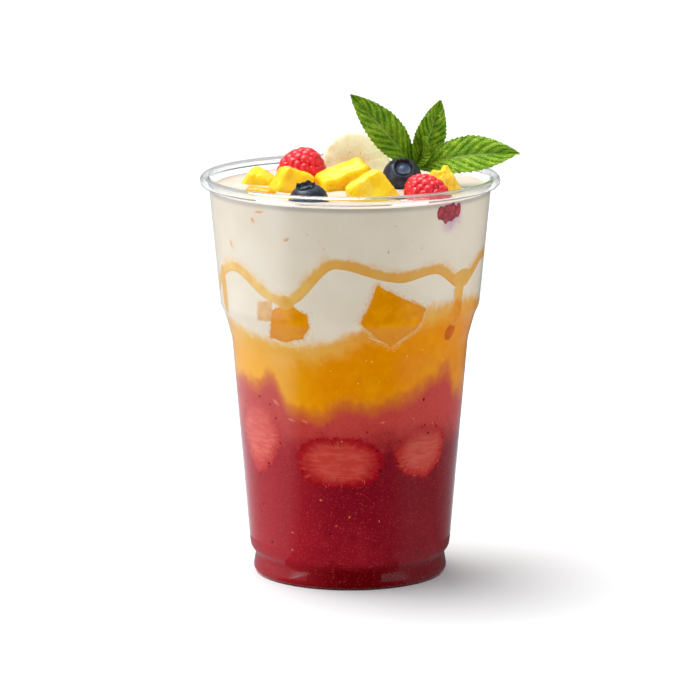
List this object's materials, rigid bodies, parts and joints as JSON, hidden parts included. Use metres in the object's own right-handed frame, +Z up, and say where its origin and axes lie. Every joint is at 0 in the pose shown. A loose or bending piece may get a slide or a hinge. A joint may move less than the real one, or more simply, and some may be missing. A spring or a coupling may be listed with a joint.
{
  "type": "filled dessert cup",
  "caption": "Clear plastic cup of layered berry puree, mango puree and yoghurt, topped with fruit and a mint sprig.",
  "frame": {"origin": "on the cup's axis, at the surface it stands on, half a millimetre below the flat underside of its raised base panel", "axes": "+Z up the cup's axis, -Y the front that the picture shows, +X to the right seen from the front"},
  "size_m": [0.1013, 0.095, 0.153],
  "materials": {
    "clear_plastic": "clear, thin, glossy",
    "berry_puree": "wet, grainy with seeds",
    "mango_puree": "wet, finely grained",
    "yoghurt": "smooth, creamy",
    "mango_sauce": "thin sauce against the wall",
    "mango_flesh": "cut fruit, wet",
    "pineapple": "cut fruit, fibrous and wet",
    "banana": "cut fruit, soft",
    "strawberry": "cut fruit, wet",
    "raspberry": "glossy drupelets",
    "blueberry": "dark skin with a pale bloom",
    "mint": "fresh leaf, quilted"
  },
  "bodies": {
    "root": {"cup": "clear_plastic", "berry_puree": "berry_puree", "mango_puree": "mango_puree", "yoghurt": "yoghurt", "mango_ribbon": "mango_sauce", "strawberry_slice_left": "strawberry", "strawberry_slice_middle": "strawberry", "strawberry_slice_right": "strawberry", "wall_mango_left": "mango_flesh", "wall_mango_right": "mango_flesh", "raspberry_piece": "raspberry", "raspberry_back": "raspberry", "raspberry_front": "raspberry", "blueberry_back": "blueberry", "blueberry_front": "blueberry", "mango_chunk_left": "mango_flesh", "mango_chunk_orange": "mango_flesh", "mango_chunk_long": "mango_flesh", "mango_chunk_front": "mango_flesh", "mango_sliver": "mango_flesh", "pineapple_chunk": "pineapple", "banana_slice": "banana", "mint_sprig": "mint"}
  },
  "joints": []
}
